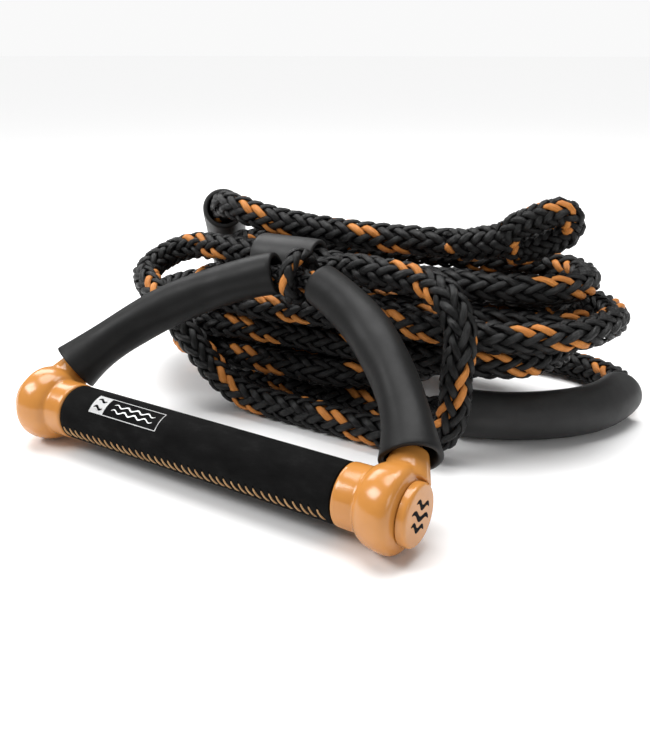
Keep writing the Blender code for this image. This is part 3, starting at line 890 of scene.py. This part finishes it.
def make_disc(side, sign):
    face = CAP_LENGTH + 0.0003
    stem, stem_r = 0.0283, 0.0122
    outline = [(stem, 0.0), (stem, stem_r), (face, stem_r),
               (face, DISC_R), (DISC_END, DISC_R), (DISC_END, 0.0)]
    outline = rounded(outline, {3: 0.0006, 4: 0.0030}, 8)
    profile = [(sign * (CAP_START + along), radius) for along, radius in outline]
    disc = object_of(f"{side}_cap_face", turned_mesh(profile), [MATERIALS["cap"]])
    ride(disc, "handle")
    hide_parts(f"{side}_cap_disc")


def wave_band(length, height, swing, waves, steps=28):
    """Outline of a wavy band about the origin, with tapered ends."""
    top, bottom = [], []
    for i in range(steps + 1):
        t = i / steps
        x = (t - 0.5) * length
        y = swing * math.sin(2 * math.pi * waves * t)
        half = height / 2 * (0.25 + 0.75 * math.sin(math.pi * t) ** 0.5)
        top.append((x, y + half))
        bottom.append((x, y - half))
    return list(zip(top, bottom))


def strip(name, columns, place, material, thickness):
    """A thin closed strip from pairs of (top, bottom) points, laid on a surface by place(u, v, height)."""
    work = bmesh.new()
    rows = []
    for top, bottom in columns:
        rows.append([work.verts.new(place(*bottom, 0.0)), work.verts.new(place(*top, 0.0)),
                     work.verts.new(place(*top, thickness)), work.verts.new(place(*bottom, thickness))])
    for a, b in zip(rows, rows[1:]):
        for j in range(4):
            k = (j + 1) % 4
            work.faces.new((a[j], b[j], b[k], a[k]))
    work.faces.new(rows[0])
    work.faces.new(rows[-1][::-1])
    bmesh.ops.recalc_face_normals(work, faces=work.faces)
    return object_of(name, work, [material], smooth=False)


def make_emblem(side, sign):
    """Three black waves on the end face: a generic mark."""
    face = sign * (CAP_START + DISC_END)

    def place(u, v, height):
        turn = math.radians(-28)
        y = u * math.cos(turn) - v * math.sin(turn)
        z = u * math.sin(turn) + v * math.cos(turn)
        return (face + sign * (height - 0.00004), AXIS_Y + sign * y, AXIS_Z + z)

    for index, (shift, length) in enumerate(((0.0052, 0.0135), (0.0, 0.0180), (-0.0052, 0.0135))):
        columns = [((a[0], a[1] + shift), (b[0], b[1] + shift))
                   for a, b in wave_band(length, 0.0026, 0.0012, 1.5)]
        mark = strip(f"{side}_emblem_wave_{index + 1}", columns, place, MATERIALS["dark"], 0.00012)
        ride(mark, "handle")


def on_grip(x, angle, height):
    """A point on the grip: along the bar, degrees up from the front, height above the suede."""
    reach = GRIP_R + height
    return (x, AXIS_Y - reach * math.cos(math.radians(angle)), AXIS_Z + reach * math.sin(math.radians(angle)))


def make_grip_mark():
    """A white printed square with two waves, beside an outlined frame with two plain wavy lines."""
    low, high = 38.0, 82.0
    height = 0.00011

    def band(x0, x1, a0, a1, name):
        work = bmesh.new()
        across = max(1, round(abs(x1 - x0) / 0.004))
        upward = max(1, round(abs(a1 - a0) / 4.0))
        grid = [[work.verts.new(on_grip(x0 + (x1 - x0) * i / across, a0 + (a1 - a0) * j / upward, height))
                 for j in range(upward + 1)] for i in range(across + 1)]
        for i in range(across):
            for j in range(upward):
                work.faces.new((grid[i][j], grid[i + 1][j], grid[i + 1][j + 1], grid[i][j + 1]))
        bmesh.ops.solidify(work, geom=work.faces[:], thickness=0.00008)
        bmesh.ops.recalc_face_normals(work, faces=work.faces)
        ride(object_of(name, work, [MATERIALS["print"]], smooth=False), "handle")

    thin = 0.00045
    thin_angle = math.degrees(thin / GRIP_R)
    left, split, right = -0.0668, -0.0568, -0.0190
    band(left, split, low, high, "grip_mark_square")
    band(split, right, high - thin_angle, high, "grip_mark_frame_top")
    band(split, right, low, low + thin_angle, "grip_mark_frame_bottom")
    band(right - thin, right, low + thin_angle, high - thin_angle, "grip_mark_frame_end")

    def place(u, v, lift):
        return on_grip(u, math.degrees(v / GRIP_R), height + lift)

    centre_v = math.radians((low + high) / 2) * GRIP_R
    middle = (left + split) / 2
    for index, shift in enumerate((0.0024, -0.0024)):
        columns = [((a[0] + middle, a[1] + centre_v + shift), (b[0] + middle, b[1] + centre_v + shift))
                   for a, b in wave_band(0.0064, 0.0015, 0.0008, 1.0)]
        mark = strip(f"grip_mark_wave_{index + 1}", columns, place, MATERIALS["dark"], 0.00009)
        ride(mark, "handle")
    middle = (split + right) / 2
    for index, shift in enumerate((0.0017, -0.0017)):
        columns = [((a[0] + middle, a[1] + centre_v + shift), (b[0] + middle, b[1] + centre_v + shift))
                   for a, b in wave_band(0.0290, 0.0009, 0.0008, 4.0, 64)]
        mark = strip(f"grip_mark_line_{index + 1}", columns, place, MATERIALS["print"], 0.00005)
        ride(mark, "handle")


def make_grip():
    inner = GRIP_R - 0.0008
    half = GRIP_HALF
    count = 60
    outer = []
    for i in range(count + 1):
        x = -half + 2 * half * i / count
        outer.append((x, GRIP_R + 0.00001 * math.sin(x * 260) + 0.00001 * math.sin(x * 97 + 1)))
    outer[0] = (-half, GRIP_R - 0.0004)
    outer[-1] = (half, GRIP_R - 0.0004)
    outer.insert(1, (-half + 0.0004, GRIP_R))
    outer.insert(len(outer) - 1, (half - 0.0004, GRIP_R))
    cover = object_of("grip_suede", turned_mesh(outer + [(half, inner), (-half, inner)], 112),
                      [MATERIALS["suede"]])
    ride(cover, "handle")
    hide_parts("grip_cover")

    # Slanted lacing stitches, each between two needle holes, over the seam.
    vertices, polygons, uvs, indices = [], [], [], []
    sides, rings = 7, 9
    thread_r = 0.00045
    pitch = 0.00448
    number = int(2 * (half - 0.0025) / pitch)
    for n in range(number + 1):
        x0 = -half + 0.0022 + n * pitch
        start = len(vertices)
        path = []
        for i in range(rings):
            t = i / (rings - 1)
            path.append(np.array(on_grip(
                x0 + 0.0034 * t + 0.0002 * math.sin(n * 1.7),
                -10.5 - 25.0 * t, -0.0006 + 0.00095 * math.sin(math.pi * t) ** 0.5)))
        path = np.array(path)
        track = Track(path)
        for i in range(rings):
            for j in range(sides):
                turn = 2 * math.pi * j / sides
                vertices.append(path[i] + thread_r * (track.normals[i] * math.cos(turn)
                                                      + track.sides[i] * math.sin(turn)))
                uvs.append((j / sides * 0.6, track.along[i] * 100 + n))
        for i in range(rings - 1):
            for j in range(sides):
                k = (j + 1) % sides
                polygons.append([start + i * sides + j, start + i * sides + k,
                                 start + (i + 1) * sides + k, start + (i + 1) * sides + j])
                indices.append(0)
        polygons.append([start + j for j in reversed(range(sides))])
        polygons.append([start + (rings - 1) * sides + j for j in range(sides)])
        indices += [0, 0]
        # The needle holes are shallow eyelets at both ends of the stitch, filled with the black inlay as
        # painted shade in the holes.
        for x, angle in ((x0, -9.0), (x0 + 0.0035, -37.0)):
            base = len(vertices)
            for j in range(10):
                turn = 2 * math.pi * j / 10
                rise = math.degrees(0.00080 * math.sin(turn) / GRIP_R)
                vertices.append(np.array(on_grip(x + 0.00062 * math.cos(turn), angle + rise, 0.00009)))
                uvs.append((0, 0))
            vertices.append(np.array(on_grip(x, angle, -0.0004)))
            uvs.append((0, 0))
            for j in range(10):
                polygons.append([base + j, base + (j + 1) % 10, base + 10])
                # Material 1 is the black inlay, here painted shade inside the hole.
                indices.append(1)
            polygons.append([base + j for j in reversed(range(10))])
            indices.append(1)
    stitches = make_mesh("grip_lacing", vertices, polygons, [MATERIALS["thread"], MATERIALS["dark"]],
                         indices, uvs)
    ride(stitches, "handle")
    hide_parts("grip_stitching")


for cap_side, cap_sign in (("left", -1), ("right", 1)):
    make_cap(cap_side, cap_sign)
    make_disc(cap_side, cap_sign)
    make_emblem(cap_side, cap_sign)
make_grip()
make_grip_mark()

for node, key in (
    ("bar_tube", "aluminium"), ("left_bar_plug", "plug"), ("right_bar_plug", "plug"), ("grip_foam", "foam"),
    ("left_stop_knot", "rope"), ("right_stop_knot", "rope"),
):
    for material_slot in frame["nodes"][node].material_slots:
        material_slot.material = MATERIALS[key]


# ---------------------------------------------------------------- floor and light


def make_floor():
    work = bmesh.new()
    bmesh.ops.create_grid(work, x_segments=2, y_segments=2, size=60.0)
    floor = object_of("floor", work, [], smooth=False)
    floor.location = (0, 0, -0.0002)
    material, tree, shader = shader_of("floor", grey(0.95), 0.9, "floor")
    shader.inputs["Specular IOR Level"].default_value = 0.1
    floor.data.materials.append(material)


def area_light(name, location, target, size_x, size_y, power):
    data = bpy.data.lights.new(name, "AREA")
    data.shape = "RECTANGLE"
    data.size = size_x
    data.size_y = size_y
    data.energy = power
    light = bpy.data.objects.new(name, data)
    bpy.context.scene.collection.objects.link(light)
    light.location = location
    light.rotation_euler = (Vector(target) - Vector(location)).to_track_quat("-Z", "Y").to_euler()


def sun_light(name, direction, strength, angle):
    data = bpy.data.lights.new(name, "SUN")
    data.energy = strength
    data.angle = math.radians(angle)
    light = bpy.data.objects.new(name, data)
    bpy.context.scene.collection.objects.link(light)
    light.rotation_euler = Vector(direction).to_track_quat("Z", "Y").to_euler()


make_floor()
area_light("key_left", (-0.70, -0.60, 0.85), (0.02, 0.03, 0.04), 0.50, 0.42, 9.0)
area_light("fill_right", (1.10, -0.45, 0.55), (0.05, 0.05, 0.03), 0.50, 0.50, 2.5)
area_light("top", (0.25, 0.60, 1.20), (0.04, 0.08, 0.06), 0.70, 0.45, 6.0)
area_light("rim_left", (-0.85, 0.45, 0.80), (0.00, 0.05, 0.06), 0.60, 0.35, 4.5)
sun_light("broad_light", (-0.20, 0.15, 1.0), 2.6, 40)

# The room is pale where it is seen, and its own light is dimmer, so that the blacks stay deep.
world_settings = bpy.data.worlds.new("studio")
world_settings.use_nodes = True
studio = world_settings.node_tree
dim = studio.nodes["Background"]
dim.inputs["Color"].default_value = (1.0, 1.0, 1.0, 1.0)
dim.inputs["Strength"].default_value = 0.20
pale = studio.nodes.new("ShaderNodeBackground")
pale.inputs["Color"].default_value = (1.0, 1.0, 1.0, 1.0)
pale.inputs["Strength"].default_value = 0.95
mix = studio.nodes.new("ShaderNodeMixShader")
link(studio, studio.nodes.new("ShaderNodeLightPath").outputs["Is Camera Ray"], mix.inputs[0])
link(studio, dim.outputs["Background"], mix.inputs[1])
link(studio, pale.outputs["Background"], mix.inputs[2])
link(studio, mix.outputs["Shader"], studio.nodes["World Output"].inputs["Surface"])
bpy.context.scene.world = world_settings
bpy.context.scene.view_settings.view_transform = "Standard"
